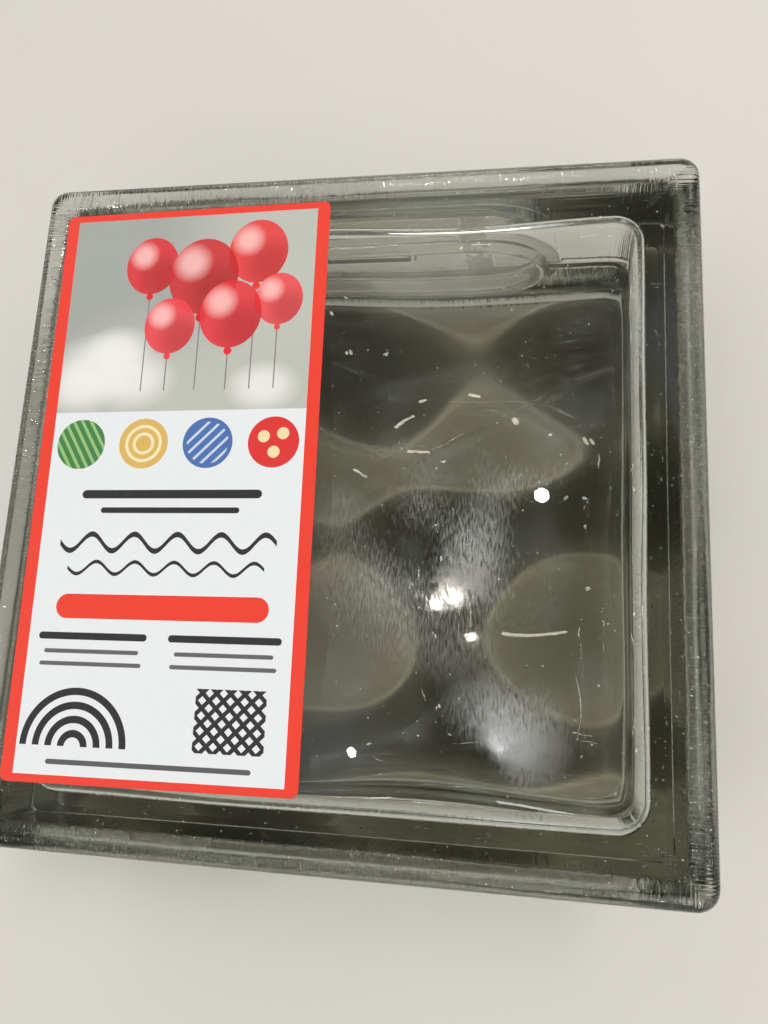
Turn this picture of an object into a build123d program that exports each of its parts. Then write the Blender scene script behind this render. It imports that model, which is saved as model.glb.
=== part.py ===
from build123d import *
from math import acos, cos, degrees, pi, radians, sin, sqrt, tan
import os

# Hollow pressed-glass block lying on its back face, with a moulded hole in one edge, the push-in
# plug of that hole, a strip of tape over the plug and a printed label.
# Sizes are millimetres. The back face is at z = 0 and the labelled front face looks up along +Z.
# +X runs to the right of the label and +Y points to the edge that has the hole.

# Outer form of the glass: two faces whose lips stand proud of a channel round the edge
block_side = 190.0
block_depth = 80.0
outer_corner_radius = 5.5
face_edge_radius = 3.0
rim_height = 8.0
lip_reach = 17.5
channel_depth = 5.5
outer_draft = 1.2

# Seam where the two pressed halves are fused
seam_bead_height = 0.8
seam_bead_width = 3.2
inner_bead_height = 1.0

# Cavity, which each half widens towards the seam
seam_wall = 6.2
inner_draft = 3.4
inner_corner_radius = 10.0
inner_edge_radius = 5.0
face_thickness = 8.4

# Waves pressed into the inner side of both faces: crossing swells, each with its share of the
# wave length, its heading in degrees and its phase in radians
wave_amplitude = 1.9
wave_length = 78.0
wave_swells = ((1.0, 20, 0.3), (0.85, 95, 1.7), (1.2, 150, 4.1))
wave_point_spacing = 17.0

# Moulded hole through the top edge, and the level seat around it
hole_length = 105.0
hole_width = 35.0
hole_chamfer = 1.0
seat_margin = 0.6

# Push-in plug of clear soft plastic, with a coin slot through its sunken panel
plug_clearance = 0.3
flange_overlap = 4.4
flange_thickness = 1.6
flange_chamfer = 0.6
panel_drop = 1.0
panel_thickness = 1.5
skirt_depth = 9.0
skirt_wall = 1.6
coin_slot_length = 28.7
coin_slot_width = 3.4
coin_slot_corner = 0.8
coin_slot_border = 1.6
coin_slot_border_height = 0.5

# Strip of clear tape across the plug, with both ends stuck up the lips
tape_width = 7.8
tape_thickness = 0.12
tape_offset = 33.0
tape_gap = 0.1
tape_end_length = 3.0

# Printed label on the front face
label_width = 81.0
label_height = 163.0
label_thickness = 0.15
label_corner_radius = 2.0
label_turn = 0.8
label_centre_x = -45.3
label_centre_y = 4.0

# Levels and half sizes that follow from the sizes above
half_side = block_side / 2
mid_height = block_depth / 2
lip_start = mid_height - lip_reach
channel_half = half_side - channel_depth
seam_half = channel_half - lip_start * tan(radians(outer_draft))
cavity_half = seam_half - seam_wall
swell_limit = wave_amplitude * sqrt(len(wave_swells))
cavity_reach = mid_height - face_thickness + swell_limit
lip_rise = lip_reach - rim_height
lip_radius = (channel_depth**2 + lip_rise**2) / (2 * channel_depth)
flange_length = hole_length + 2 * flange_overlap
flange_width = hole_width + 2 * flange_overlap
skirt_length = hole_length - 2 * plug_clearance
skirt_width = hole_width - 2 * plug_clearance
flange_top = seam_half + flange_thickness
panel_top = flange_top - panel_drop


def section_plane(across):
    """Upright plane through the middle of the block, with the seam on its first axis."""
    return Plane(origin=(0, 0, mid_height), x_dir=across, z_dir=across.cross(Vector(0, 0, 1)))


def edge_plane(height):
    """Plane across the holed edge at the given height, facing away from the block's middle."""
    return Plane(origin=(0, height, mid_height), x_dir=(1, 0, 0), z_dir=(0, 1, 0))


def draw_section():
    """Outline of the solid block cut across: channel, seam bead and lips on both sides."""
    bead_foot = seam_bead_width / 2
    foot_half = seam_half + bead_foot * tan(radians(outer_draft))
    rim_foot = mid_height - rim_height
    Line((foot_half, bead_foot), (channel_half, lip_start))
    RadiusArc((channel_half, lip_start), (half_side, rim_foot), lip_radius)
    Line((half_side, rim_foot), (half_side, mid_height))
    Line((half_side, mid_height), (0, mid_height))
    mirror(about=Plane.XZ)
    ThreePointArc((foot_half, -bead_foot), (seam_half + seam_bead_height, 0), (foot_half, bead_foot))
    mirror(about=Plane.YZ)


def swell(x, y):
    """Height of the waves at a point, never more than the swell limit."""
    total = 0
    for share, heading, phase in wave_swells:
        along = x * cos(radians(heading)) + y * sin(radians(heading))
        total += sin(2 * pi * along / (wave_length * share) + phase)
    return swell_limit * total / len(wave_swells)


def wave_face(height_at):
    """Wavy face a little wider than the block, through points on a square grid."""
    count = round(block_side / wave_point_spacing)
    stations = [block_side * (i / count - 0.5) for i in range(count + 1)]
    points = [[Vector(x, y, height_at(x, y)) for y in stations] for x in stations]
    return Face.make_surface_from_array_of_points(points)


# Outer form: the section run both ways and kept where the two agree, so that the channels meet
# in mitred corners
with BuildPart() as channelled_form:
    with BuildSketch(section_plane(Vector(1, 0, 0))):
        with BuildLine():
            draw_section()
        make_face()
    extrude(amount=half_side, both=True)
    with BuildSketch(section_plane(Vector(0, 1, 0))):
        with BuildLine():
            draw_section()
        make_face()
    extrude(amount=half_side, both=True, mode=Mode.INTERSECT)

# Cavity: two drafted halves with rounded ends, cut off by the wavy faces, less the seam's bead
front_waves = wave_face(lambda x, y: block_depth - face_thickness + swell(x, y))
back_waves = wave_face(lambda x, y: face_thickness - swell(-y, x))

with BuildPart() as cavity:
    with BuildSketch(Plane.XY.offset(mid_height)) as seam_outline:
        RectangleRounded(2 * cavity_half, 2 * cavity_half, inner_corner_radius)
    extrude(amount=cavity_reach, taper=inner_draft)
    extrude(seam_outline.sketch, amount=-cavity_reach, taper=inner_draft)
    fillet(cavity.faces().filter_by(Axis.Z).edges(), inner_edge_radius)
    extrude(front_waves, amount=mid_height, dir=(0, 0, 1), mode=Mode.SUBTRACT)
    extrude(back_waves, amount=mid_height, dir=(0, 0, -1), mode=Mode.SUBTRACT)
    with BuildLine() as bead_path:
        FilletPolyline(
            (cavity_half, cavity_half, mid_height),
            (-cavity_half, cavity_half, mid_height),
            (-cavity_half, -cavity_half, mid_height),
            (cavity_half, -cavity_half, mid_height),
            radius=inner_corner_radius,
            close=True,
        )
    with BuildSketch(Plane(origin=bead_path.line @ 0, z_dir=bead_path.line % 0)):
        RegularPolygon(inner_bead_height, 4)
    sweep(path=bead_path.line, mode=Mode.SUBTRACT)

with BuildPart() as glass_block:
    with BuildSketch():
        RectangleRounded(block_side, block_side, outer_corner_radius)
    extrude(amount=block_depth)
    fillet(glass_block.faces().filter_by(Axis.Z).edges(), face_edge_radius)
    add(channelled_form.part, mode=Mode.INTERSECT)
    add(cavity.part, mode=Mode.SUBTRACT)
    with BuildSketch(edge_plane(seam_half)):
        SlotOverall(flange_length + 2 * seat_margin, flange_width + 2 * seat_margin)
    extrude(amount=channel_depth, mode=Mode.SUBTRACT)
    with BuildSketch(edge_plane(seam_half)):
        SlotOverall(hole_length, hole_width)
    extrude(amount=-2 * seam_wall, mode=Mode.SUBTRACT)
    seat = glass_block.faces().filter_by(Plane.XZ).filter_by(lambda face: len(face.inner_wires()) == 1)
    chamfer(seat[0].inner_wires()[0].edges(), hole_chamfer)
glass_block.part.label = "glass_block"

with BuildPart() as plug:
    with BuildSketch(edge_plane(seam_half)):
        SlotOverall(flange_length, flange_width)
    extrude(amount=flange_thickness)
    chamfer(plug.faces().sort_by(Axis.Y)[-1].edges(), flange_chamfer)
    with BuildSketch(edge_plane(seam_half)):
        SlotOverall(skirt_length, skirt_width)
    extrude(amount=-skirt_depth)
    with BuildSketch(edge_plane(flange_top)) as panel_outline:
        SlotOverall(skirt_length - 2 * skirt_wall, skirt_width - 2 * skirt_wall)
    extrude(amount=-panel_drop, mode=Mode.SUBTRACT)
    with BuildSketch(edge_plane(seam_half - skirt_depth)):
        SlotOverall(skirt_length - 2 * skirt_wall, skirt_width - 2 * skirt_wall)
    extrude(amount=panel_top - panel_thickness - seam_half + skirt_depth, mode=Mode.SUBTRACT)
    with BuildSketch(edge_plane(panel_top)):
        RectangleRounded(
            coin_slot_length + 2 * coin_slot_border,
            coin_slot_width + 2 * coin_slot_border,
            coin_slot_corner + coin_slot_border,
        )
    extrude(amount=coin_slot_border_height)
    with BuildSketch(edge_plane(flange_top)):
        RectangleRounded(coin_slot_length, coin_slot_width, coin_slot_corner)
    extrude(amount=-(panel_drop + panel_thickness), mode=Mode.SUBTRACT)
plug.part.label = "plug"

with BuildPart() as tape_strip:
    with BuildSketch(Plane.YZ.offset(tape_offset - tape_width / 2)):
        with BuildLine():
            arc_centre = (channel_half + lip_radius, mid_height + lip_start)
            arc_radius = lip_radius - tape_gap
            touch_angle = acos((arc_centre[0] - flange_top) / arc_radius)
            touch_height = arc_centre[1] + arc_radius * sin(touch_angle)
            Line((flange_top, mid_height), (flange_top, touch_height))
            CenterArc(
                arc_centre,
                arc_radius,
                start_angle=180 - degrees(touch_angle),
                arc_size=-degrees(tape_end_length / arc_radius),
            )
            mirror(about=Plane.XZ.offset(-mid_height))
            offset(amount=tape_thickness, side=Side.RIGHT)
        make_face()
    extrude(amount=tape_width)
tape_strip.part.label = "tape_strip"

with BuildPart() as label:
    with BuildSketch(Plane.XY.offset(block_depth)):
        with Locations((label_centre_x, label_centre_y)):
            RectangleRounded(label_width, label_height, label_corner_radius, rotation=label_turn)
    extrude(amount=label_thickness)
label.part.label = "label"

os.makedirs("parts", exist_ok=True)
export_step(glass_block.part, "parts/glass_block.step")
export_step(plug.part, "parts/plug.step")
export_step(tape_strip.part, "parts/tape_strip.step")
export_step(label.part, "parts/label.step")
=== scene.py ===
from math import acos, asin, cos, pi, radians, sin, sqrt, tan
from random import Random

import bmesh
import bpy
from mathutils import Matrix, Vector


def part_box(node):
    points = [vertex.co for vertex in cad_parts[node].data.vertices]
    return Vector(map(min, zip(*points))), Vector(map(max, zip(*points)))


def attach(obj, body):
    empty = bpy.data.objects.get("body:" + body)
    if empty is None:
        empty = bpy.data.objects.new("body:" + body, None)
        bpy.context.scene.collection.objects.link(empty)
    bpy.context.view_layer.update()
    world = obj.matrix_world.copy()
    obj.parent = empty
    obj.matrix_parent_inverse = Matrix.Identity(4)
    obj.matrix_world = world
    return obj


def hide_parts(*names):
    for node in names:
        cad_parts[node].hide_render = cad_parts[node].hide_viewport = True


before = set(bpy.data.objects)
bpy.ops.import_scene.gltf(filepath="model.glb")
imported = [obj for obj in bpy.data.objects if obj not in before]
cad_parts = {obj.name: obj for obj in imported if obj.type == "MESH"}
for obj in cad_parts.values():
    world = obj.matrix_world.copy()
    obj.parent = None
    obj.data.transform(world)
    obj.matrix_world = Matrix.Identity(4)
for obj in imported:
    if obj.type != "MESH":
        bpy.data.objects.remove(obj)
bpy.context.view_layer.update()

# The glass block lies on its back, labelled face up. +X runs right across the label and +Y points
# to the edge with the plug. Shapes are worked out in millimetres, like the part's own sizes, and
# scaled to metres when a mesh is made.
MM = 0.001

glass_low, glass_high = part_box("glass_block")

# Outer form of the glass
block_side = round((glass_high.x - glass_low.x) / MM, 3)
block_depth = round((glass_high.z - glass_low.z) / MM, 3)
outer_corner_radius = 5.5
face_edge_radius = 3.0
rim_height = 8.0
rim_edge_radius = 1.3
lip_trim = 1.3
lip_reach = 17.5
channel_depth = 5.5
channel_corner_radius = 2.2
outer_draft = 1.2
seam_bead_height = 0.8
seam_bead_width = 3.2

# Cavity and its waves
seam_wall = 6.2
inner_bead_height = 1.0
inner_bead_width = 2.4
inner_draft = 3.4
inner_corner_radius = 10.0
inner_edge_radius = 5.0
least_corner_radius = 0.8
face_thickness = 8.4
wave_amplitude = 1.9
wave_length = 78.0
wave_swells = ((1.0, 20, 0.3), (0.85, 95, 1.7), (1.2, 150, 4.1))

# Hole, seat and plug
hole_length = 105.0
hole_width = 35.0
hole_edge_radius = 1.0
hole_inner_radius = 2.4
hole_flare_depth = 1.6
hole_flare_angle = 75
seat_margin = 0.6
seat_corner_radius = 0.5
plug_clearance = 0.3
flange_overlap = 4.4
flange_thickness = 1.6
flange_edge_radius = 0.6
panel_drop = 1.0
panel_thickness = 1.5
skirt_depth = 9.0
skirt_wall = 1.6
coin_slot_length = 28.7
coin_slot_width = 3.4
coin_slot_corner = 0.8
coin_slot_border = 1.6
coin_slot_border_height = 0.5
coin_slot_edge = 0.24
slot_shade_margin = 0.15
plug_rim_radius = 0.35
flange_foot_inset = 0.2

# Cutter of the hole: how far it goes beyond the rim and into the cavity, and how it widens there
cutter_margin = 2.0
cutter_reach = 8.0
cutter_spread = 3.0

# Tape over the plug
tape_width = 7.8
tape_offset = 33.0
tape_gap = 0.1
tape_end_length = 3.0
tape_film = 0.05
tape_border = 0.45
air_patch_rise = 3.0
air_patch_reach = 7.0
least_milky = 0.08
most_milky = 0.96
tape_seed = 11
tape_lift = 0.035
tape_ripple = 0.012
tape_ripple_count = 7

# Printed label
label_width = 81.0
label_height = 163.0
label_thickness = 0.15
label_corner_radius = 2.0
label_turn = 0.8
label_centre = (-45.3, 4.0)
label_edge = 0.03
border_at_sides = 3.6
border_at_ends = 2.1
panel_foot = 19.4
string_foot = panel_foot + 6
stripe_shift = 500

# Bubbles left in the fused seam, and the glass kept outside and inside their centres
bubble_seed = 5
bubble_count = 170
bubble_radius = (0.10, 0.34)
bubble_stretch = 2.6
bubble_cover = (1.2, 1.4)
bubble_scatter = 0.45

# Segments of the outlines: the square's sides and corners, the hole's round ends and straight
# sides, and the coin slot's corners
side_segments = 40
corner_segments = 8
hole_end_segments = 18
hole_side_segments = 24
slot_corner_segments = 8

# Relief of the surfaces, and for the glass the cells of its noise per metre
ripple_scale = 38
ripple_relief = 0.15
rib_scale = 2300
rib_length_scale = 60
rib_relief = 0.45
plug_relief = 0.04
tape_relief = 0.6
paper_relief = 0.004
label_bulge = 0.12

# Where the ribs lie: on the lips, beside the seam and beside the corners' mitres
lip_ribs_from = 87.5
lip_ribs_fade = 2.0
seam_ribs_reach = 3.0
seam_ribs_gain = 1.6
mitre_ribs_from = 81.5
mitre_ribs_reach = 2.2

# Marks on the front face: haze in patches of a centre and a radius, wiped one way, and dust
haze_patches = (((28, -14), 36), ((46, -58), 18), ((52, 2), 14))
haze_depth = 0.3
haze_strength = 0.27
haze_blur = 0.20
patch_gain = 1.4
wipe_turn = 14
wipe_scale = (3000, 420, 1)
wipe_gain = 4.4
wipe_floor = 0.75
cloud_scale = 55
dust_scale = 1300
dust_from = 0.82
dust_strength = 0.34

# Hairline gap left between two pieces that touch, so that their faces never coincide
hairline = 0.02

half_side = block_side / 2
mid_height = block_depth / 2
lip_start = mid_height - lip_reach
channel_half = half_side - channel_depth
seam_half = channel_half - lip_start * tan(radians(outer_draft))
cavity_half = seam_half - seam_wall
lip_radius = (channel_depth**2 + (lip_reach - rim_height) ** 2) / (2 * channel_depth)
flange_top = seam_half + flange_thickness


# Shapes

def quarter_turns(steps):
    """Angles from 0 to 90 degrees in even steps, in radians."""
    return [radians(90 * i / steps) for i in range(steps + 1)]


def arc_points(centre, radius, start, end, steps):
    """Points of a plane arc from one angle to another, in degrees."""
    turns = [radians(start + (end - start) * i / steps) for i in range(steps + 1)]
    return [(centre[0] + radius * cos(turn), centre[1] + radius * sin(turn)) for turn in turns]


def rounded_rectangle(half_x, half_y, radius, per_side, per_corner):
    """Counter-clockwise outline, from the start of the lower right corner's arc."""
    points = []
    corners = ((1, -1, -90), (1, 1, 0), (-1, 1, 90), (-1, -1, 180))
    for sign_x, sign_y, start in corners:
        centre = (sign_x * (half_x - radius), sign_y * (half_y - radius))
        points.append(arc_points(centre, radius, start, start + 90, per_corner))
    outline = []
    for arc, following in zip(points, points[1:] + points[:1]):
        outline += arc
        (ax, ay), (bx, by) = arc[-1], following[0]
        shares = [i / per_side for i in range(1, per_side)]
        outline += [(ax + (bx - ax) * share, ay + (by - ay) * share) for share in shares]
    return outline


def square_ring(half, radius):
    """One ring of the glass: a square outline with rounded corners."""
    return rounded_rectangle(half, half, radius, side_segments, corner_segments)


def add_skin(mesh, rings, inward=False, loop=False):
    """Quads between rings of equal count, and a fan over each end unless the rings close in a loop."""
    levels = [[mesh.verts.new(point) for point in ring] for ring in rings]
    pairs = list(zip(levels, levels[1:]))
    if loop:
        pairs.append((levels[-1], levels[0]))

    def face(corners):
        mesh.faces.new(corners[::-1] if inward else corners)

    for lower, upper in pairs:
        for i in range(len(lower)):
            j = (i + 1) % len(lower)
            face([lower[i], lower[j], upper[j], upper[i]])
    if loop:
        return
    for level, first in ((levels[0], True), (levels[-1], False)):
        centre = mesh.verts.new(sum((v.co for v in level), Vector()) / len(level))
        for i in range(len(level)):
            j = (i + 1) % len(level)
            face([level[j], level[i], centre] if first else [level[i], level[j], centre])


def shade(data, sharp_angle=30):
    """Smooth shading that stays sharp over the steeper edges."""
    data.shade_smooth()
    data.set_sharp_from_angle(angle=radians(sharp_angle))


def make_object(name, mesh, sharp_angle=30):
    """A smooth-shaded object from a bmesh drawn in millimetres."""
    bmesh.ops.scale(mesh, vec=(MM, MM, MM), verts=mesh.verts)
    data = bpy.data.meshes.new(name)
    mesh.to_mesh(data)
    mesh.free()
    shade(data, sharp_angle)
    piece = bpy.data.objects.new(name, data)
    bpy.context.scene.collection.objects.link(piece)
    return piece


def cut_away(piece, cutter):
    """Takes the cutter's space out of the piece and deletes the cutter."""
    modifier = piece.modifiers.new("cut", "BOOLEAN")
    modifier.operation = "DIFFERENCE"
    modifier.solver = "EXACT"
    modifier.object = cutter
    depsgraph = bpy.context.evaluated_depsgraph_get()
    data = bpy.data.meshes.new_from_object(piece.evaluated_get(depsgraph))
    data.name = piece.name
    piece.modifiers.clear()
    piece.data = data
    shade(data)
    bpy.data.objects.remove(cutter)


# The glass body

def swell(x, y):
    """Height of the waves at a point."""
    total = 0
    for share, heading, phase in wave_swells:
        along = x * cos(radians(heading)) + y * sin(radians(heading))
        total += sin(2 * pi * along / (wave_length * share) + phase)
    return wave_amplitude * total / sqrt(len(wave_swells))


def front_wave(x, y):
    """Height of the cavity's upper face."""
    return block_depth - face_thickness + swell(x, y)


def back_wave(x, y):
    """Height of the cavity's lower face, with the same waves turned by a right angle."""
    return face_thickness - swell(-y, x)


def outer_profile():
    """Half width and height from the back face's edge up to the seam's crest."""
    profile = []
    for turn in quarter_turns(6):
        reach = half_side - face_edge_radius * (1 - sin(turn))
        profile.append((reach, face_edge_radius * (1 - cos(turn))))
    # The rim's edge is rounded between the upright rim and the lip's arc
    arc_centre = (channel_half + lip_radius, mid_height - lip_start)
    rim_turn = acos((lip_radius - channel_depth) / lip_radius)
    back_off = rim_edge_radius * tan(rim_turn / 2)
    rim_steps = 5
    for i in range(rim_steps + 1):
        turn = rim_turn * i / rim_steps
        reach = half_side - rim_edge_radius * (1 - cos(turn))
        profile.append((reach, rim_height - back_off + rim_edge_radius * sin(turn)))
    # The lip's arc starts a little past the end of that rounding
    first_turn = rim_turn - lip_trim * back_off / lip_radius
    lip_steps = 8
    for i in range(lip_steps + 1):
        turn = first_turn * (1 - i / lip_steps)
        reach = arc_centre[0] - lip_radius * cos(turn)
        profile.append((reach, arc_centre[1] - lip_radius * sin(turn)))
    # The bead is an arc through its two feet and its crest
    foot = seam_bead_width / 2
    foot_half = seam_half + foot * tan(radians(outer_draft))
    rise = seam_half + seam_bead_height - foot_half
    bead_radius = (foot**2 + rise**2) / (2 * rise)
    span = asin(foot / bead_radius)
    bead_centre = seam_half + seam_bead_height - bead_radius
    bead_steps = 5
    for i in range(bead_steps + 1):
        turn = span * (1 - i / bead_steps)
        profile.append((bead_centre + bead_radius * cos(turn), mid_height - bead_radius * sin(turn)))
    return profile


def outer_ring(reach, height):
    """Ring of the outside, whose corners get tighter as it sinks into the channel."""
    radius = max(channel_corner_radius, outer_corner_radius - (half_side - reach))
    return [(x, y, height) for x, y in square_ring(reach, radius)]


def outer_rings():
    """Rings from the middle of the back face, out over the edge, to the middle of the front face."""
    profile = outer_profile()
    inner_shares = (0.25, 0.5, 0.75, 0.92)
    lower = [(profile[0][0] * share, 0.0) for share in inner_shares] + profile
    upper = [(reach, block_depth - height) for reach, height in reversed(lower[:-1])]
    return [outer_ring(reach, height) for reach, height in lower + upper]


def inner_ring(reach, height_at):
    """Ring of the cavity at a half width, with its height from a function of the place."""
    radius = max(least_corner_radius, inner_corner_radius - (cavity_half - reach))
    return [(x, y, height_at(x, y)) for x, y in square_ring(reach, radius)]


def half_cavity_rings(wave, upward):
    """Rings from the middle of one wavy face out to its edge, round it and along the wall."""
    sign = -1 if upward else 1
    end_height = mid_height - face_thickness - inner_edge_radius
    wall_end = cavity_half - end_height * tan(radians(inner_draft))
    wave_half = wall_end - inner_edge_radius
    rings = []
    wave_steps = 24
    for i in range(1, wave_steps + 1):
        rings.append(inner_ring(wave_half * i / wave_steps, wave))
    edge_steps = 8
    for i in range(1, edge_steps + 1):
        turn = radians(90 * (1 - i / edge_steps))
        reach = wall_end - inner_edge_radius * (1 - cos(turn))
        drop = inner_edge_radius * (1 - sin(turn))
        rings.append(inner_ring(reach, lambda x, y: wave(x, y) + sign * drop))
    wall_levels = (14, 8, 4)
    for off_seam in wall_levels:
        reach = cavity_half - off_seam * tan(radians(inner_draft))
        rings.append(inner_ring(reach, lambda x, y: mid_height - sign * off_seam))
    return rings


def inner_bead_rings():
    """Rings over the bead that the seam leaves inside the cavity."""
    rings = []
    steps = 8
    for i in range(steps + 1):
        share = 2 * i / steps - 1
        reach = cavity_half - inner_bead_height * cos(share * pi / 2)
        height = mid_height + share * inner_bead_width / 2
        rings.append(inner_ring(reach, lambda x, y: height))
    return rings


def stadium(length, width):
    """Counter-clockwise outline of a slot with round ends."""
    radius = width / 2
    centre = length / 2 - radius
    right = arc_points((centre, 0), radius, -90, 90, hole_end_segments)
    left = arc_points((-centre, 0), radius, 90, 270, hole_end_segments)
    shares = [i / hole_side_segments for i in range(1, hole_side_segments)]
    top = [(centre - 2 * centre * share, radius) for share in shares]
    bottom = [(-centre + 2 * centre * share, -radius) for share in shares]
    return right + top + left + bottom


def edge_ring(outline, reach):
    """An outline stood up across the holed edge, at a distance from the block's middle."""
    return [(x, reach, mid_height - y) for x, y in outline]


def hole_ring(reach, wider):
    """The hole's outline grown by a distance, at a distance from the block's middle."""
    return edge_ring(stadium(hole_length + 2 * wider, hole_width + 2 * wider), reach)


def add_bubbles(mesh):
    """Small bubbles strung along the fused seam, as closed shells that face inward."""
    draws = Random(bubble_seed)
    pattern = bmesh.new()
    bmesh.ops.create_icosphere(pattern, subdivisions=2, radius=1)
    points = [vert.co.copy() for vert in pattern.verts]
    triangles = [[vert.index for vert in face.verts] for face in pattern.faces]
    pattern.free()
    bubbles = 0
    while bubbles < bubble_count:
        side = draws.randrange(4)
        along = draws.uniform(-cavity_half, cavity_half)
        out = seam_half - draws.uniform(bubble_cover[0], seam_wall - bubble_cover[1])
        height = mid_height + draws.gauss(0, bubble_scatter)
        radius = draws.uniform(*bubble_radius)
        stretch = draws.uniform(1.0, bubble_stretch)
        # The hole and its seat take up the middle of side 0
        if side == 0 and abs(along) < hole_length / 2 + flange_overlap:
            continue
        size = Matrix.Diagonal((radius * stretch, radius, radius, 1))
        turn = Matrix.Rotation(radians(90 * side), 4, "Z")
        place = turn @ Matrix.Translation((along, out, height)) @ size
        verts = [mesh.verts.new(place @ point * MM) for point in points]
        for triangle in triangles:
            mesh.faces.new([verts[i] for i in reversed(triangle)]).smooth = True
        bubbles += 1


def hole_profile():
    """Distance out and growth of the hole's cutter, from beyond the rim through the seat and the wall."""
    seat = flange_overlap + seat_margin
    profile = [(half_side + cutter_margin, seat), (seam_half + seat_corner_radius, seat)]
    for turn in quarter_turns(4)[1:]:
        reach = seam_half + seat_corner_radius * (1 - sin(turn))
        profile.append((reach, seat - seat_corner_radius * (1 - cos(turn))))
    for turn in quarter_turns(5):
        reach = seam_half - hole_edge_radius * (1 - cos(turn))
        profile.append((reach, hole_edge_radius * (1 - sin(turn))))
    flare = seam_half - seam_wall + hole_flare_depth
    flare_steps = 5
    for i in range(flare_steps + 1):
        turn = radians(hole_flare_angle * i / flare_steps)
        profile.append((flare - hole_inner_radius * sin(turn), hole_inner_radius * (1 - cos(turn))))
    profile.append((flare - cutter_reach, hole_inner_radius + cutter_spread))
    return profile


def make_glass():
    """The closed glass skin with its cavity, the hole cut through its edge, and the bubbles."""
    mesh = bmesh.new()
    add_skin(mesh, outer_rings())
    rings = half_cavity_rings(back_wave, False) + inner_bead_rings()
    rings += half_cavity_rings(front_wave, True)[::-1]
    add_skin(mesh, rings, inward=True)
    glass = make_object("glass_body", mesh)
    mesh = bmesh.new()
    add_skin(mesh, [hole_ring(reach, wider) for reach, wider in hole_profile()])
    bmesh.ops.recalc_face_normals(mesh, faces=mesh.faces)
    cut_away(glass, make_object("hole_cutter", mesh))
    mesh = bmesh.new()
    mesh.from_mesh(glass.data)
    add_bubbles(mesh)
    mesh.to_mesh(glass.data)
    mesh.free()
    return glass


# The plug

def slot_ring(wider, reach):
    """The coin slot's outline grown by a distance, with as many points as the hole's outline has."""
    per_side = (hole_end_segments + hole_side_segments) // 2 - slot_corner_segments
    half_size = (coin_slot_length / 2 + wider, coin_slot_width / 2 + wider)
    radius = coin_slot_corner + wider
    return edge_ring(rounded_rectangle(*half_size, radius, per_side, slot_corner_segments), reach)


def make_plug():
    """Nested rings from the flange's foot over the top, down the coin slot and back underneath."""
    inner = -plug_clearance - skirt_wall
    panel_top = flange_top - panel_drop
    panel_base = panel_top - panel_thickness
    rim = plug_rim_radius
    rings = []
    for turn in quarter_turns(4):
        wider = flange_overlap - flange_edge_radius * (1 - cos(turn))
        rings.append(hole_ring(flange_top - flange_edge_radius * (1 - sin(turn)), wider))
    for turn in quarter_turns(3):
        rings.append(hole_ring(flange_top - rim * (1 - cos(turn)), inner + rim * (1 - sin(turn))))
    for turn in quarter_turns(3):
        rings.append(hole_ring(panel_top + rim * (1 - sin(turn)), inner - rim * (1 - cos(turn))))
    border_top = panel_top + coin_slot_border_height
    slot_levels = (
        (coin_slot_border + coin_slot_edge, panel_top),
        (coin_slot_border, panel_top + coin_slot_edge),
        (coin_slot_border, border_top - coin_slot_edge),
        (coin_slot_border - coin_slot_edge, border_top),
        (coin_slot_edge, border_top),
        (0, border_top - coin_slot_edge),
        (0, panel_base),
    )
    rings += [slot_ring(wider, reach) for wider, reach in slot_levels]
    skirt_end = seam_half - skirt_depth
    seat = seam_half + hairline
    skirt_levels = (
        (panel_base, inner - rim),
        (panel_base - rim, inner),
        (skirt_end + rim, inner),
        (skirt_end, inner + rim),
        (skirt_end, -plug_clearance - rim),
        (skirt_end + rim, -plug_clearance),
        (seat, -plug_clearance),
        (seat, flange_overlap - flange_foot_inset),
    )
    rings += [hole_ring(reach, wider) for reach, wider in skirt_levels]
    mesh = bmesh.new()
    add_skin(mesh, rings, loop=True)
    bmesh.ops.recalc_face_normals(mesh, faces=mesh.faces)
    return make_object("plug_body", mesh)


# The tape

def tape_path():
    """Across the plug's flange, then a little way up each lip's arc: distance out and height."""
    centre = (channel_half + lip_radius, mid_height + lip_start)
    radius = lip_radius - tape_gap
    touch = acos((centre[0] - flange_top) / radius)
    end = touch - tape_end_length / radius
    half_flat = centre[1] + radius * sin(touch) - mid_height
    arc_steps = 8
    arc = [touch + (end - touch) * i / arc_steps for i in range(arc_steps + 1)]
    upper = [(centre[0] - radius * cos(turn), centre[1] + radius * sin(turn)) for turn in arc]
    flat_steps = 60
    shares = [2 * i / flat_steps - 1 for i in range(flat_steps + 1)]
    flat = [(flange_top, mid_height + half_flat * share) for share in shares]
    lower = [(reach, 2 * mid_height - height) for reach, height in reversed(upper)]
    return lower[:-1] + flat + upper[1:]


def make_tape():
    """The film as a closed strip that ripples a little off the plug and the lips."""
    draws = Random(tape_seed)
    ripples = []
    for _ in range(tape_ripple_count):
        ripples.append((draws.uniform(0, 2 * pi), draws.uniform(0.6, 2.2), draws.uniform(-0.8, 0.8)))
    across = 16
    mesh = bmesh.new()
    rings = []
    for reach, height in tape_path():
        outer = []
        for i in range(across + 1):
            x = tape_offset + tape_width * (i / across - 0.5)
            lift = tape_lift
            for phase, waves, slant in ripples:
                turn = waves * (height - mid_height) + slant * (x - tape_offset) + phase
                lift += tape_ripple * sin(turn)
            outer.append((x, reach + hairline + max(0.0, lift), height))
        inner = []
        for x, reach_out, z in reversed(outer):
            inner.append((x, max(reach_out - tape_film * 0.5, reach + hairline / 2), z))
        rings.append(outer + inner)
    add_skin(mesh, rings)
    bmesh.ops.recalc_face_normals(mesh, faces=mesh.faces)
    return make_object("tape_film", mesh, sharp_angle=50)


# The label

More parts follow.
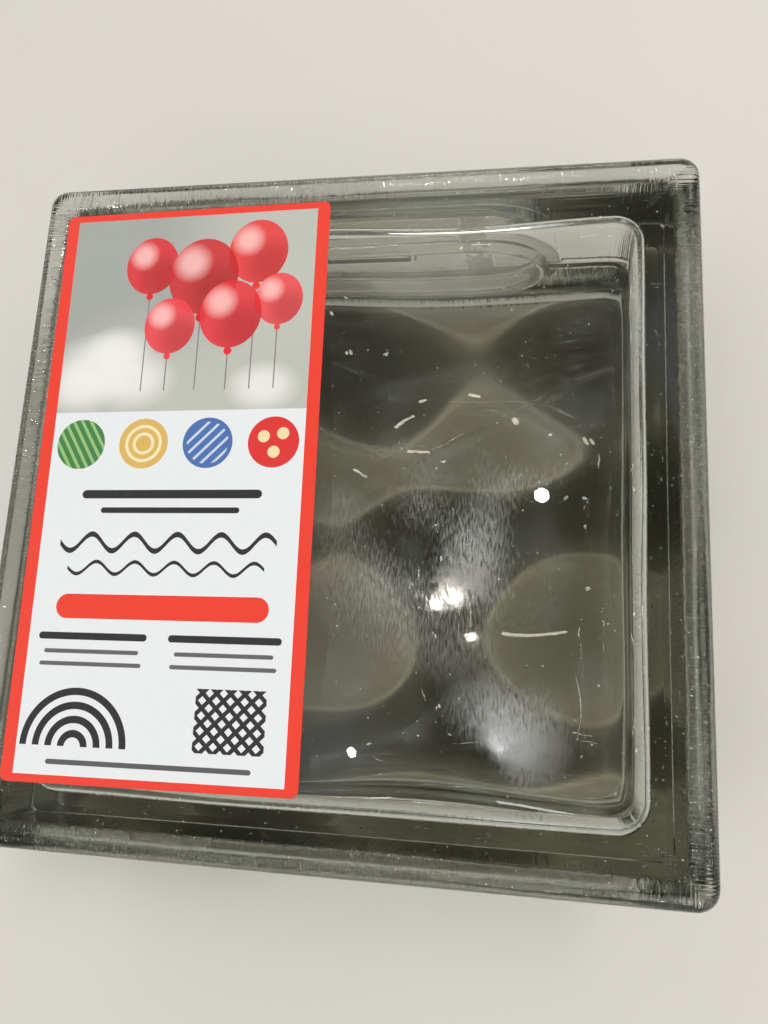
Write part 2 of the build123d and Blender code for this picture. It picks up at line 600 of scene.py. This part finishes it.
def make_label():
    """The label, with its picture, its lower half and its gummed side as faces of their own."""
    base = block_depth + hairline
    top = block_depth + label_thickness
    half_size = (label_width / 2, label_height / 2)
    outline = rounded_rectangle(*half_size, label_corner_radius, side_segments, corner_segments)
    rings = []
    for inset, height in ((0, base), (0, top - label_edge), (label_edge, top)):
        share_x, share_y = (1 - inset / half for half in half_size)
        rings.append([(x * share_x, y * share_y, height) for x, y in outline])
    mesh = bmesh.new()
    add_skin(mesh, rings)
    bmesh.ops.recalc_face_normals(mesh, faces=mesh.faces)
    geometry = [*mesh.verts, *mesh.edges, *mesh.faces]
    bmesh.ops.bisect_plane(mesh, geom=geometry, plane_co=(0, panel_foot, 0), plane_no=(0, 1, 0))
    for face in mesh.faces:
        if face.normal.z < -0.5:
            face.material_index = 2
        elif face.calc_center_median().y < panel_foot:
            face.material_index = 1
    turn = Matrix.Rotation(radians(label_turn), 4, "Z")
    mesh.transform(Matrix.Translation((*label_centre, 0)) @ turn)
    return make_object("printed_label", mesh)


# Materials

class Graph:
    """Builds the nodes of a material or of the world. Values are numbers, colours or sockets."""

    def __init__(self, owner):
        owner.use_nodes = True
        self.nodes = owner.node_tree.nodes
        self.nodes.clear()
        self.new = self.nodes.new
        self.link = owner.node_tree.links.new

    def set(self, socket, value):
        """Gives a socket a number, a colour or another socket's result."""
        if isinstance(value, tuple):
            socket.default_value = (*value, 1)
        elif isinstance(value, (int, float)):
            socket.default_value = value
        else:
            self.link(value, socket)

    def shader(self, kind, **values):
        """A shader node, with its inputs set by name."""
        node = self.new(kind)
        for name, value in values.items():
            self.set(node.inputs[name.replace("_", " ")], value)
        return node

    def place(self, space="Object"):
        """The shaded place in the piece's own metres, or as another space gives it."""
        return self.new("ShaderNodeTexCoord").outputs[space]

    def split(self, place):
        """The X, Y and Z of a place."""
        node = self.new("ShaderNodeSeparateXYZ")
        self.link(place, node.inputs[0])
        return node.outputs

    def math(self, operation, *values, clamp=False):
        """Result of one operation on numbers or sockets."""
        node = self.new("ShaderNodeMath")
        node.operation = operation
        node.use_clamp = clamp
        for socket, value in zip(node.inputs, values):
            self.set(socket, value)
        return node.outputs[0]

    def noise(self, vector, scale, detail, roughness=0.5):
        """Noise from 0 to 1, with its scale in cells per unit of the vector."""
        node = self.new("ShaderNodeTexNoise")
        node.inputs["Scale"].default_value = scale
        node.inputs["Detail"].default_value = detail
        node.inputs["Roughness"].default_value = roughness
        self.link(vector, node.inputs["Vector"])
        return node.outputs["Fac"]

    def bump(self, height, distance, normal=None):
        """Normal bent by a height, over an already bent one if that is given."""
        node = self.new("ShaderNodeBump")
        node.inputs["Distance"].default_value = distance
        self.link(height, node.inputs["Height"])
        if normal is not None:
            self.link(normal, node.inputs["Normal"])
        return node.outputs[0]

    def mix_colours(self, factor, *colours):
        """The first of two colours where the factor is 0, the second where it is 1."""
        node = self.new("ShaderNodeMix")
        node.data_type = "RGBA"
        self.link(factor, node.inputs["Factor"])
        sockets = [socket for socket in node.inputs if socket.type == "RGBA"]
        for socket, colour in zip(sockets, colours):
            self.set(socket, colour)
        return [socket for socket in node.outputs if socket.type == "RGBA"][0]

    def ramp(self, factor, stops, interpolation="LINEAR"):
        """Colour for a factor, from stops of a position and a colour."""
        node = self.new("ShaderNodeValToRGB")
        node.color_ramp.interpolation = interpolation
        elements = node.color_ramp.elements
        for i, (position, colour) in enumerate(stops):
            stop = elements[i] if i < 2 else elements.new(position)
            stop.position = position
            stop.color = (*colour, 1)
        self.link(factor, node.inputs[0])
        return node.outputs["Color"]

    def mix_shaders(self, factor, first, second):
        """The first shader where the factor is 0, the second where it is 1."""
        node = self.new("ShaderNodeMixShader")
        for socket, source in zip(node.inputs, (factor, first, second)):
            self.link(source, socket)
        return node.outputs[0]

    def show(self, shader, kind="ShaderNodeOutputMaterial"):
        """The output, with the shader as its surface."""
        output = self.new(kind)
        self.link(shader, output.inputs["Surface"])
        return output

    def show_clear(self, shader, tint):
        """The output of a clear surface: shadow and diffuse rays pass straight through, tinted."""
        path = self.new("ShaderNodeLightPath")
        clear = self.shader("ShaderNodeBsdfTransparent", Color=tint)
        for kind_of_ray in ("Is Diffuse Ray", "Is Shadow Ray"):
            shader = self.mix_shaders(path.outputs[kind_of_ray], shader, clear.outputs[0])
        return self.show(shader)


def gathered_light(graph, x, y, z):
    """Tint of lamp light: even in the front, and in the back brightest in a ring round each swell."""
    total = 0.0
    for share, heading, phase in wave_swells:
        turns = 2 * pi / (wave_length * MM * share)
        across = graph.math("MULTIPLY", x, turns * cos(radians(heading)))
        along = graph.math("MULTIPLY_ADD", y, turns * sin(radians(heading)), across)
        swing = graph.math("SINE", graph.math("ADD", along, phase))
        total = graph.math("MULTIPLY_ADD", swing, -1 / share**2, total)
    most = sum(1 / share**2 for share, heading, phase in wave_swells)
    curving = graph.math("MULTIPLY_ADD", total, 0.5 / most, 0.5)
    levels = ((0.0, 0.20), (0.40, 0.32), (0.545, 0.46), (0.58, 1.0), (0.615, 0.78), (1.0, 0.60))
    stops = [(position, (level, level * 0.96, level * 0.89)) for position, level in levels]
    back = graph.ramp(curving, stops, "CARDINAL")
    in_front = graph.math("GREATER_THAN", z, mid_height * MM)
    return graph.mix_colours(in_front, back, (0.95, 0.95, 0.92))


def glass_relief(graph, place, x, y, z):
    """Height of the ripples left by the fire polish, and of fine ribs left by the mould, in metres."""
    calc = graph.math
    off_x = calc("ABSOLUTE", x)
    off_y = calc("ABSOLUTE", y)
    side_on = calc("GREATER_THAN", off_x, off_y)
    along = calc("MULTIPLY_ADD", side_on, calc("SUBTRACT", y, x), x)
    reach = calc("MAXIMUM", off_x, off_y)
    rib_place = graph.new("ShaderNodeCombineXYZ")
    scaled = ((along, rib_scale), (reach, rib_length_scale), (z, rib_length_scale))
    for socket, (value, scale) in zip(rib_place.inputs, scaled):
        graph.link(calc("MULTIPLY", value, scale), socket)
    ribs = graph.noise(rib_place.outputs[0], 1.0, 0)

    # The ribs lie on the lips, the mitres and the seam, and are stronger where the ripples are high
    on_lip = calc("DIVIDE", calc("SUBTRACT", reach, lip_ribs_from * MM), lip_ribs_fade * MM, clamp=True)
    off_seam = calc("ABSOLUTE", calc("SUBTRACT", z, mid_height * MM))
    by_seam = calc("SUBTRACT", 1.0, calc("DIVIDE", off_seam, seam_ribs_reach * MM), clamp=True)
    on_seam = calc("MULTIPLY", by_seam, seam_ribs_gain)
    off_mitre = calc("ABSOLUTE", calc("SUBTRACT", off_x, off_y))
    by_mitre = calc("SUBTRACT", 1.0, calc("DIVIDE", off_mitre, mitre_ribs_reach * MM), clamp=True)
    on_mitre = calc("MULTIPLY", by_mitre, calc("GREATER_THAN", reach, mitre_ribs_from * MM))
    most_worn = calc("MAXIMUM", calc("MAXIMUM", on_lip, on_mitre), on_seam)
    ripples = graph.noise(place, ripple_scale, 0)
    worn_ribs = calc("MULTIPLY", ribs, calc("MULTIPLY", ripples, most_worn))
    ripple_height = calc("MULTIPLY", ripples, ripple_relief * MM)
    return calc("MULTIPLY_ADD", worn_ribs, rib_relief * MM, ripple_height)


def front_marks(graph, place, z):
    """Handling marks on the front face: the strength of haze and dust together, and of the haze."""
    calc = graph.math
    front = calc("GREATER_THAN", z, (block_depth - haze_depth) * MM)
    patch = 0.0
    for centre, radius in haze_patches:
        gap = graph.new("ShaderNodeVectorMath")
        gap.operation = "DISTANCE"
        graph.link(place, gap.inputs[0])
        gap.inputs[1].default_value = (centre[0] * MM, centre[1] * MM, block_depth * MM)
        near = calc("SUBTRACT", 1.0, calc("DIVIDE", gap.outputs["Value"], radius * MM), clamp=True)
        patch = calc("MAXIMUM", patch, near)
    wipes = graph.new("ShaderNodeMapping")
    wipes.inputs["Rotation"].default_value = (0, 0, radians(wipe_turn))
    wipes.inputs["Scale"].default_value = wipe_scale
    graph.link(place, wipes.inputs["Vector"])
    streaks = graph.noise(wipes.outputs[0], 1.0, 1, 0.6)
    clouds = graph.noise(place, cloud_scale, 0)
    wiped = calc("MULTIPLY_ADD", calc("MULTIPLY", streaks, clouds), wipe_gain, -wipe_floor, clamp=True)
    smear = calc("MULTIPLY", wiped, calc("MULTIPLY", patch, patch_gain, clamp=True))
    specks = calc("GREATER_THAN", graph.noise(place, dust_scale, 0), dust_from)
    haze = calc("MULTIPLY", smear, haze_strength)
    both = calc("MAXIMUM", haze, calc("MULTIPLY", specks, dust_strength))
    return calc("MULTIPLY", both, front), calc("MULTIPLY", smear, front)


def glass_material():
    """Clear glass, grey-green in its depth, with its relief and the marks of handling."""
    material = bpy.data.materials.new("pressed_glass")
    graph = Graph(material)
    place = graph.place()
    x, y, z = graph.split(place)
    marks, smear = front_marks(graph, place, z)
    glass = graph.shader(
        "ShaderNodeBsdfPrincipled",
        Base_Color=(0.97, 0.98, 0.965),
        IOR=1.52,
        Normal=graph.bump(glass_relief(graph, place, x, y, z), 1.0),
        Transmission_Weight=graph.math("SUBTRACT", 1.0, marks),
        Roughness=graph.math("MULTIPLY", smear, haze_blur),
    )
    output = graph.show_clear(glass.outputs[0], gathered_light(graph, x, y, z))
    depth = graph.shader("ShaderNodeVolumeAbsorption", Color=(0.595, 0.6155, 0.543), Density=36)
    graph.link(depth.outputs[0], output.inputs["Volume"])
    return material


def plug_material():
    """Clear to milky plastic, with painted shade darkening the coin slot's walls."""
    material = bpy.data.materials.new("moulded_plug")
    graph = Graph(material)
    calc = graph.math
    place = graph.place()
    at = graph.split(place)
    # Painted shade: a dark base colour on the coin slot's walls stands in for the shade inside the slot.
    off_middle = calc("ABSOLUTE", calc("SUBTRACT", at["Z"], mid_height * MM))
    within = calc("LESS_THAN", calc("ABSOLUTE", at["X"]), (coin_slot_length / 2 + slot_shade_margin) * MM)
    beside = calc("LESS_THAN", off_middle, (coin_slot_width / 2 + slot_shade_margin) * MM)
    painted_slot_shade = calc("MULTIPLY", within, beside)
    plastic = graph.shader(
        "ShaderNodeBsdfPrincipled",
        Base_Color=graph.mix_colours(painted_slot_shade, (0.83, 0.815, 0.77), (0.16, 0.155, 0.14)),
        Transmission_Weight=0.86,
        IOR=1.49,
        Roughness=calc("MULTIPLY", graph.noise(place, 60, 0), 0.10),
        Normal=graph.bump(graph.noise(place, 420, 0), plug_relief * MM),
    )
    graph.show_clear(plastic.outputs[0], (0.9, 0.9, 0.88))
    return material


def tape_material():
    """A clear creased film, milky along its borders and where air is trapped over the plug."""
    material = bpy.data.materials.new("clear_tape_film")
    graph = Graph(material)
    calc = graph.math
    place = graph.place()
    at = graph.split(place)
    film = graph.shader(
        "ShaderNodeBsdfPrincipled",
        Base_Color=(0.80, 0.79, 0.77),
        Transmission_Weight=0.9,
        IOR=1.45,
        Roughness=0.05,
        Normal=graph.bump(graph.noise(place, 420, 1), tape_relief * MM),
    )
    off_middle = calc("ABSOLUTE", calc("SUBTRACT", at["X"], tape_offset * MM))
    by_edge = calc("GREATER_THAN", off_middle, (tape_width / 2 - tape_border) * MM)
    off_patch = calc("ABSOLUTE", calc("SUBTRACT", at["Z"], (mid_height + air_patch_rise) * MM))
    in_patch = calc("LESS_THAN", off_patch, air_patch_reach * MM)
    air = calc("GREATER_THAN", graph.noise(place, 640, 1), 0.5)
    marks = calc("MAXIMUM", by_edge, calc("MULTIPLY", in_patch, air))
    milky = calc("MULTIPLY_ADD", marks, most_milky - least_milky, least_milky)
    glow = graph.shader("ShaderNodeBsdfTranslucent", Color=(0.95, 0.94, 0.92))
    graph.show_clear(graph.mix_shaders(milky, film.outputs[0], glow.outputs[0]), (0.96, 0.96, 0.95))
    return material


class Print(Graph):
    """Paints flat inks on the label, one over another, in millimetres from the label's centre."""

    def __init__(self, owner, ground):
        super().__init__(owner)
        mapping = self.new("ShaderNodeMapping")
        mapping.vector_type = "TEXTURE"
        mapping.inputs["Location"].default_value = (label_centre[0] * MM, label_centre[1] * MM, 0)
        mapping.inputs["Rotation"].default_value = (0, 0, radians(label_turn))
        mapping.inputs["Scale"].default_value = (MM, MM, MM)
        self.link(self.place(), mapping.inputs["Vector"])
        self.on_label = mapping.outputs[0]
        at = self.split(self.on_label)
        self.u, self.v = at["X"], at["Y"]
        self.colour = ground

    def ink(self, mask, colour, strength=1.0):
        """Lays a colour, given or computed, over what is there, where the mask is 1."""
        if strength != 1.0:
            mask = self.math("MULTIPLY", mask, strength)
        self.colour = self.mix_colours(mask, self.colour, colour)

    def box(self, centre, size):
        """1 in an upright rectangle."""
        across = self.math("ABSOLUTE", self.math("SUBTRACT", self.u, centre[0]))
        along = self.math("ABSOLUTE", self.math("SUBTRACT", self.v, centre[1]))
        inside = self.math("LESS_THAN", across, size[0] / 2)
        return self.math("MULTIPLY", inside, self.math("LESS_THAN", along, size[1] / 2))

    def length(self, across, along):
        """Length of a step across and along the label."""
        squares = self.math("MULTIPLY_ADD", across, across, self.math("MULTIPLY", along, along))
        return self.math("SQRT", squares)

    def distance(self, centre, stretch=1.0):
        """Distance from a place, counted longer across by the stretch."""
        across = self.math("MULTIPLY", self.math("SUBTRACT", self.u, centre[0]), stretch)
        return self.length(across, self.math("SUBTRACT", self.v, centre[1]))

    def disc(self, centre, radius, stretch=1.0):
        """1 in a disc, or in an upright oval where it is stretched."""
        return self.math("LESS_THAN", self.distance(centre, stretch), radius)

    def glow(self, centre, radius, stretch=1.0):
        """1 at the centre, falling smoothly to 0 at the radius."""
        share = self.math("DIVIDE", self.distance(centre, stretch), radius)
        fall = self.math("SUBTRACT", 1.0, share, clamp=True)
        return self.math("SMOOTH_MIN", self.math("MULTIPLY", fall, 1.6), 1.0, 0.4, clamp=True)

    def bar(self, centre, length, width):
        """A stroke with round ends."""
        reach = (length - width) / 2
        offset = self.math("SUBTRACT", self.u, centre[0])
        nearest = self.math("MINIMUM", self.math("MAXIMUM", offset, -reach), reach)
        across = self.math("SUBTRACT", offset, nearest)
        gap = self.length(across, self.math("SUBTRACT", self.v, centre[1]))
        return self.math("LESS_THAN", gap, width / 2)

    def wave(self, centre, length, height, turns, width):
        """A sine line across the label."""
        offset = self.math("SUBTRACT", self.u, centre[0])
        swing = self.math("SINE", self.math("MULTIPLY", offset, turns * 2 * pi / length))
        rise = self.math("MULTIPLY", swing, height)
        gap = self.math("ABSOLUTE", self.math("SUBTRACT", self.math("SUBTRACT", self.v, centre[1]), rise))
        inside = self.math("LESS_THAN", self.math("ABSOLUTE", offset), length / 2)
        return self.math("MULTIPLY", inside, self.math("LESS_THAN", gap, width / 2))

    def stripes(self, pitch, share, slant):
        """Slanting stripes all over: 1 on a share of each pitch."""
        along = self.math("ADD", self.u, self.math("MULTIPLY", self.v, slant))
        phase = self.math("FRACT", self.math("DIVIDE", self.math("ADD", along, stripe_shift), pitch))
        return self.math("LESS_THAN", phase, share)

    def both(self, first, second):
        """Where both masks are."""
        return self.math("MULTIPLY", first, second)

    def apart(self, first, second):
        """Where the first mask is and the second isn't."""
        return self.math("MULTIPLY", first, self.math("SUBTRACT", 1.0, second))


def balloon(art, centre, radius, red):
    """A balloon with its string, a shaded side and a highlight."""
    knot = (centre[0], centre[1] - radius * 1.22)
    string = art.box((knot[0], (knot[1] + string_foot) / 2), (0.35, knot[1] - string_foot))
    art.ink(string, (0.22, 0.20, 0.20))
    art.ink(art.disc(knot, radius * 0.13), red)
    body = art.disc(centre, radius * 1.12, 1.12)
    art.ink(body, red, 0.93)
    shaded_side = (centre[0] + radius * 0.45, centre[1] - radius * 0.5)
    shadow = art.both(body, art.glow(shaded_side, radius * 1.1))
    art.ink(shadow, tuple(channel * 0.45 for channel in red), 0.55)
    highlight = (centre[0] - radius * 0.35, centre[1] + radius * 0.42)
    shine = art.both(body, art.glow(highlight, radius * 0.62))
    art.ink(shine, (1.0, 0.62, 0.60), 0.75)


border_red = (0.85, 0.045, 0.022)
ink_black = (0.02, 0.02, 0.022)
paper_white = (0.80, 0.83, 0.86)


def draw_picture(art):
    """The grey-blue picture panel: balloons over soft clouds."""
    height = label_height / 2 - border_at_ends - panel_foot
    panel = art.box((0, panel_foot + height / 2), (label_width - 2 * border_at_sides, height))
    art.ink(panel, (0.37, 0.39, 0.37))
    haze_glows = (((30, 74), 40), ((30, 28), 40), ((-14, 20), 34))
    for centre, radius in haze_glows:
        art.ink(art.both(panel, art.glow(centre, radius)), (0.60, 0.60, 0.55), 0.6)
    clouds = (((-26, 33), 11), ((-15, 29), 10), ((-31, 27), 9), ((-20, 38), 8), ((24, 26), 8))
    for centre, radius in clouds:
        art.ink(art.both(panel, art.glow(centre, radius, 0.7)), (0.86, 0.86, 0.84), 0.8)
    balloons = (
        ((-12, 64), 8.0, (0.72, 0.010, 0.018)),
        ((20, 67), 8.8, (0.80, 0.030, 0.030)),
        ((4, 60), 10.5, (0.62, 0.008, 0.014)),
        ((27, 52), 7.0, (0.86, 0.060, 0.070)),
        ((13, 48), 9.2, (0.78, 0.016, 0.030)),
        ((-5, 45), 7.6, (0.84, 0.045, 0.060)),
    )
    for centre, radius, red in balloons:
        balloon(art, centre, radius, red)


def draw_swatches(art):
    """Four round swatches under the picture, each with a plain pattern of its own."""
    row = 10.0
    pitch = 18.8
    radius = 7.2
    spots = [(pitch * (i - 1.5), row) for i in range(4)]
    inks = ((0.05, 0.22, 0.06), (0.72, 0.46, 0.12), (0.07, 0.16, 0.45), (0.72, 0.03, 0.03))
    for spot, colour in zip(spots, inks):
        art.ink(art.disc(spot, radius), colour)
    striped = art.both(art.disc(spots[0], radius), art.stripes(2.6, 0.4, 0.6))
    art.ink(striped, (0.32, 0.52, 0.20))
    for ring in (5.4, 3.2):
        band = art.apart(art.disc(spots[1], ring), art.disc(spots[1], ring - 0.9))
        art.ink(band, (0.92, 0.80, 0.50))
    crossed = art.both(art.disc(spots[2], radius - 1.2), art.stripes(3.4, 0.3, -1.0))
    art.ink(crossed, (0.60, 0.68, 0.80))
    for off_u, off_v in ((-2.8, 1.6), (2.6, 2.4), (0.2, -2.8)):
        art.ink(art.disc((spots[3][0] + off_u, row + off_v), 1.7), (0.90, 0.72, 0.42))


def draw_rules(art):
    """Bars, wave lines, a fan and a lattice in black and red, below the swatches."""
    art.ink(art.bar((0, -4.5), 52, 2.4), ink_black)
    art.ink(art.bar((0, -9.0), 40, 1.6), ink_black)
    art.ink(art.wave((0, -18.0), 62, 2.3, 5, 1.5), ink_black)
    art.ink(art.wave((0, -25.0), 56, 1.7, 5, 1.0), ink_black)
    art.ink(art.bar((0, -35.5), 60, 6.6), border_red)
    for column in (-18.5, 18.5):
        art.ink(art.bar((column, -43.5), 31, 1.9), ink_black)
        art.ink(art.bar((column, -47.5), 27, 1.1), (0.12, 0.12, 0.13))
        art.ink(art.bar((column, -50.8), 29, 1.1), (0.12, 0.12, 0.13))
    fan = (-21.0, -72.0)
    upper_half = art.math("GREATER_THAN", art.v, fan[1])
    for ring in (15.0, 11.4, 7.8, 4.2):
        band = art.apart(art.disc(fan, ring), art.disc(fan, ring - 1.9))
        art.ink(art.both(band, upper_half), ink_black)
    lattice = art.box((21.5, -64.0), (19, 16))
    first = art.both(lattice, art.stripes(3.8, 0.42, 1.0))
    second = art.both(lattice, art.stripes(3.8, 0.42, -1.0))
    art.ink(art.math("MAXIMUM", first, second), ink_black)
    art.ink(art.bar((0, -76.0), 56, 1.3), (0.10, 0.10, 0.11))


def label_material(name, parts):
    """Satin printed paper that shows some parts of the artwork."""
    material = bpy.data.materials.new(name)
    art = Print(material, border_red)
    inside_border = (label_width - 2 * border_at_sides, label_height - 2 * border_at_ends)
    art.ink(art.box((0, 0), inside_border), paper_white)
    for draw_part in parts:
        draw_part(art)
    art.ink(art.noise(art.on_label, 0.8, 2, 0.6), (0.30, 0.30, 0.31), 0.08)
    fibres = art.bump(art.noise(art.on_label, 3.0, 1), paper_relief * MM)
    sheen = art.noise(art.on_label, 0.05, 1)
    paper = art.shader(
        "ShaderNodeBsdfPrincipled",
        Base_Color=art.colour,
        Specular_IOR_Level=0.35,
        Roughness=art.math("MULTIPLY_ADD", sheen, 0.2, 0.24),
        Normal=art.bump(art.noise(art.on_label, 0.045, 1), label_bulge * MM, fibres),
    )
    art.show(paper.outputs[0])
    return material


def label_back_material():
    """The gummed side, seen through the glass."""
    material = bpy.data.materials.new("label_back")
    graph = Graph(material)
    stops = ((0.0, (0.60, 0.61, 0.60)), (1.0, (0.72, 0.73, 0.73)))
    tone = graph.ramp(graph.noise(graph.place(), 90, 4), stops)
    graph.show(graph.shader("ShaderNodeBsdfPrincipled", Base_Color=tone, Roughness=0.7).outputs[0])
    return material


def floor_material():
    """Plain pale paint."""
    material = bpy.data.materials.new("floor_paint")
    graph = Graph(material)
    paint = graph.shader("ShaderNodeBsdfPrincipled", Base_Color=(0.70, 0.68, 0.65), Roughness=0.8)
    graph.show(paint.outputs[0])
    return material


# Pieces of the object

glass = make_glass()
glass.data.materials.append(glass_material())
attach(glass, "block")
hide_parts("glass_block")

plug = make_plug()
plug.data.materials.append(plug_material())
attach(plug, "stopper")
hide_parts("plug")

tape = make_tape()
tape.data.materials.append(tape_material())
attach(tape, "stopper")
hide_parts("tape_strip")

label = make_label()
label.data.materials.append(label_material("label_picture", (draw_picture,)))
label.data.materials.append(label_material("label_lower_half", (draw_swatches, draw_rules)))
label.data.materials.append(label_back_material())
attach(label, "block")
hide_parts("label")

# Floor, light and camera

floor_half = 2.5
floor_level = -0.0003
floor_corners = []
for sign_x, sign_y in ((-1, -1), (1, -1), (1, 1), (-1, 1)):
    floor_corners.append((floor_half * sign_x, floor_half * sign_y, floor_level))
floor_mesh = bpy.data.meshes.new("floor")
floor_mesh.from_pydata(floor_corners, [], [(0, 1, 2, 3)])
floor = bpy.data.objects.new("floor", floor_mesh)
bpy.context.scene.collection.objects.link(floor)
floor_mesh.materials.append(floor_material())


def add_lamp(name, place, size, power, colour=(1, 1, 1), shape="RECTANGLE", mirrored=True):
    """A lamp aimed at the block. One that isn't mirrored lights it but never shows in its gloss."""
    light = bpy.data.lights.new(name, "AREA")
    light.shape = shape
    light.size, light.size_y = size
    light.energy = power
    light.color = colour
    lamp = bpy.data.objects.new(name, light)
    lamp.location = place
    aim = Vector((0, 0, mid_height * MM)) - Vector(place)
    lamp.rotation_euler = aim.to_track_quat("-Z", "Y").to_euler()
    lamp.visible_glossy = mirrored
    lamp.visible_transmission = mirrored
    bpy.context.scene.collection.objects.link(lamp)


add_lamp("key", (0.50, 0.55, 1.35), (0.3, 0.3), 7.6, mirrored=False)
add_lamp("fill", (-0.9, -0.4, 1.1), (0.8, 0.8), 4, mirrored=False)

# Small round lamps on the ceiling for the glints: place and width in metres, and colour
warm = (1, 0.93, 0.82)
white = (0.93, 0.97, 1)
round_lamps = [
    ((-0.088, 0.125, 1.5), 0.030, warm),
    ((-0.117, 0.106, 1.5), 0.022, warm),
    ((-0.056, 0.048, 1.5), 0.014, warm),
    ((0.071, 0.330, 1.5), 0.030, white),
    ((0.007, -0.147, 1.5), 0.026, white),
    ((-0.272, -0.183, 1.5), 0.020, warm),
]

# A wide ring of more of them round the block
ring_count = 9
ring_start = 15
ring_radius = 1.15
ring_height = 1.35
ring_lamp_width = 0.04
for i in range(ring_count):
    turn = radians(360 / ring_count * i + ring_start)
    lamp_place = (ring_radius * cos(turn), ring_radius * sin(turn), ring_height)
    round_lamps.append((lamp_place, ring_lamp_width, (warm, white)[i % 2]))

# Watts of a round lamp for each square metre of its squared radius
lamp_glow = 1000
for i, (lamp_place, width, colour) in enumerate(round_lamps):
    power = lamp_glow * (width / 2) ** 2
    add_lamp(f"ceiling_{i}", lamp_place, (width, width), power, colour, shape="DISK")

# Slim lamps that the swells and the lips draw out into lines
tube_lamps = (
    ("tube_far", (-0.25, 1.05, 1.1), (0.16, 0.02), 0.35, warm),
    ("tube_low", (-0.1, 1.6, 0.85), (0.9, 0.05), 2.0, warm),
    ("tube_right", (0.95, 0.0, 0.9), (0.03, 0.5), 0.7, warm),
    ("tube_near", (0.10, -0.85, 0.9), (0.5, 0.03), 0.7, warm),
    ("tube_high", (0.80, 0.25, 1.4), (0.025, 0.45), 1.2, warm),
    ("tube_front", (0.30, -0.75, 1.3), (0.26, 0.05), 1.4, white),
)
for tube_lamp in tube_lamps:
    add_lamp(*tube_lamp)

# Soft panels of light in a dim room, which only the glass shows, and a plain backdrop
world = bpy.data.worlds.new("studio")
bpy.context.scene.world = world
graph = Graph(world)
panels = graph.new("ShaderNodeMapping")
panels.inputs["Scale"].default_value = (3.2, 3.2, 1.6)
graph.link(graph.place("Generated"), panels.inputs["Vector"])
room_stops = (
    (0.34, (0.045, 0.050, 0.042)),
    (0.46, (0.17, 0.165, 0.135)),
    (0.56, (0.40, 0.38, 0.33)),
    (0.66, (0.95, 0.97, 1.0)),
)
room_tone = graph.ramp(graph.noise(panels.outputs[0], 1.0, 1), room_stops)
room = graph.shader("ShaderNodeBackground", Color=room_tone)
backdrop = graph.shader("ShaderNodeBackground", Color=(0.62, 0.61, 0.59))
camera_ray = graph.new("ShaderNodeLightPath").outputs["Is Camera Ray"]
seen = graph.mix_shaders(camera_ray, room.outputs[0], backdrop.outputs[0])
graph.show(seen, "ShaderNodeOutputWorld")

# Camera at the photograph's viewing angle: places in millimetres, and the roll in degrees
camera_place = Vector((50.75, -47.2, 285.6)) * MM
camera_target = Vector((14.1, -4.5, block_depth)) * MM
camera_roll = 2.96
camera_data = bpy.data.cameras.new("camera")
camera_data.lens = 28.85
camera = bpy.data.objects.new("camera", camera_data)
bpy.context.scene.collection.objects.link(camera)
backward = (camera_place - camera_target).normalized()
rightward = Vector((0, 1, 0)).cross(backward).normalized()
aim = Matrix((rightward, backward.cross(rightward), backward)).transposed().to_4x4()
roll = Matrix.Rotation(radians(camera_roll), 4, "Z")
camera.matrix_world = Matrix.Translation(camera_place) @ aim @ roll
bpy.context.scene.camera = camera

scene = bpy.context.scene
scene.view_settings.view_transform = "Standard"
scene.cycles.max_bounces = 9
scene.cycles.transmission_bounces = 9
scene.cycles.glossy_bounces = 5
scene.cycles.diffuse_bounces = 1
scene.cycles.transparent_max_bounces = 14
scene.cycles.caustics_refractive = False
scene.cycles.caustics_reflective = False
